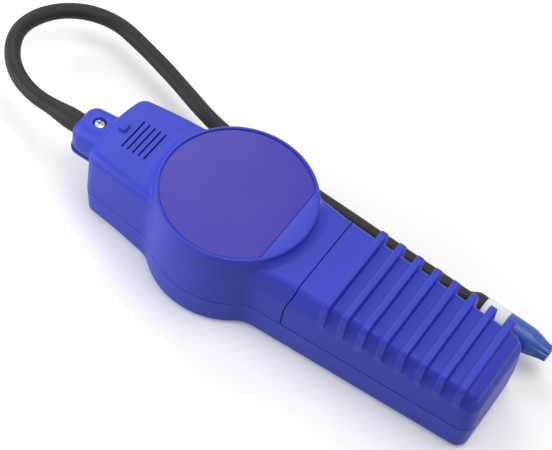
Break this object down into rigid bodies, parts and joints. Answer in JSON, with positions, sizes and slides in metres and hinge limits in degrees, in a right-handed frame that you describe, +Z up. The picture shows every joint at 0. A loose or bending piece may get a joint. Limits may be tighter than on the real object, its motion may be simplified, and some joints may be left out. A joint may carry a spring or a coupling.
{
  "type": "refrigerant leak detector",
  "caption": "Hand-held refrigerant leak detector with a round sensing head, ribbed battery handle and a bent gooseneck probe ending in a sensor tip.",
  "frame": {"origin": "centre of the round middle, on the plane of the front face that the detector lies on", "axes": "+X from the nose to the butt along the housing, +Y towards the probe's far leg, +Z up through the back"},
  "size_m": [0.2396, 0.0878, 0.0396],
  "materials": {
    "housing": "moulded blue ABS, satin",
    "label_film": "printed polyester film, plain",
    "plated_steel": "bright zinc plated",
    "gooseneck_steel": "wound steel strip",
    "sleeve": "shrunk polyolefin, satin black",
    "pale_plastic": "moulded nylon",
    "clear_guard": "clear moulded polycarbonate",
    "tip": "moulded blue plastic, satin",
    "board": "solder mask on glass laminate",
    "black_plastic": "moulded",
    "lamp": "tinted epoxy",
    "key_rubber": "moulded silicone",
    "transformer": "taped winding",
    "capacitor": "shrink sleeve",
    "cell_jacket": "plain film jacket"
  },
  "bodies": {
    "housing": {"front_shell": "housing", "back_shell": "housing", "label": "label_film", "clamp_screw": "plated_steel", "probe_clamp": "housing", "probe_ferrule": "plated_steel", "gooseneck": "gooseneck_steel", "probe_sleeve": "sleeve", "sensor_collar": "sleeve", "sensor_socket": "pale_plastic", "sensor_element": "plated_steel", "sensor_guard": "clear_guard", "main_board": "board", "buzzer": "black_plastic", "leak_lamps": "lamp", "key_switches": "pale_plastic", "step_up_transformer": "transformer", "controller_chip": "black_plastic", "capacitors": "capacitor", "board_screws": "plated_steel", "handle_screws": "plated_steel", "battery_tray": "black_plastic", "battery_left": "cell_jacket", "battery_right": "cell_jacket", "contact_springs": "plated_steel", "front_contacts": "plated_steel", "rear_contact": "plated_steel"},
    "cover": {"battery_cover": "housing"},
    "tip": {"tip_cap": "tip"},
    "power": {"power_key": "key_rubber"},
    "reset": {"reset_key": "key_rubber"},
    "sensitivity_up": {"sensitivity_up_key": "key_rubber"},
    "sensitivity_down": {"sensitivity_down_key": "key_rubber"}
  },
  "joints": [
    {"name": "cover_slide", "type": "slide", "parent": "housing", "child": "cover", "axis": [1, 0, 0], "range_m": [0, 0.08]},
    {"name": "tip_pull", "type": "slide", "parent": "housing", "child": "tip", "axis": [0.9986, -0.0523, 0], "range_m": [0, 0.022]},
    {"name": "power_press", "type": "slide", "parent": "housing", "child": "power", "axis": [0, 0, 1], "range_m": [0, 0.0008], "stiffness_N_per_m": 300, "springref_m": -0.001},
    {"name": "reset_press", "type": "slide", "parent": "housing", "child": "reset", "axis": [0, 0, 1], "range_m": [0, 0.0008], "stiffness_N_per_m": 300, "springref_m": -0.001},
    {"name": "sensitivity_up_press", "type": "slide", "parent": "housing", "child": "sensitivity_up", "axis": [0, 0, 1], "range_m": [0, 0.0008], "stiffness_N_per_m": 300, "springref_m": -0.001},
    {"name": "sensitivity_down_press", "type": "slide", "parent": "housing", "child": "sensitivity_down", "axis": [0, 0, 1], "range_m": [0, 0.0008], "stiffness_N_per_m": 300, "springref_m": -0.001}
  ]
}
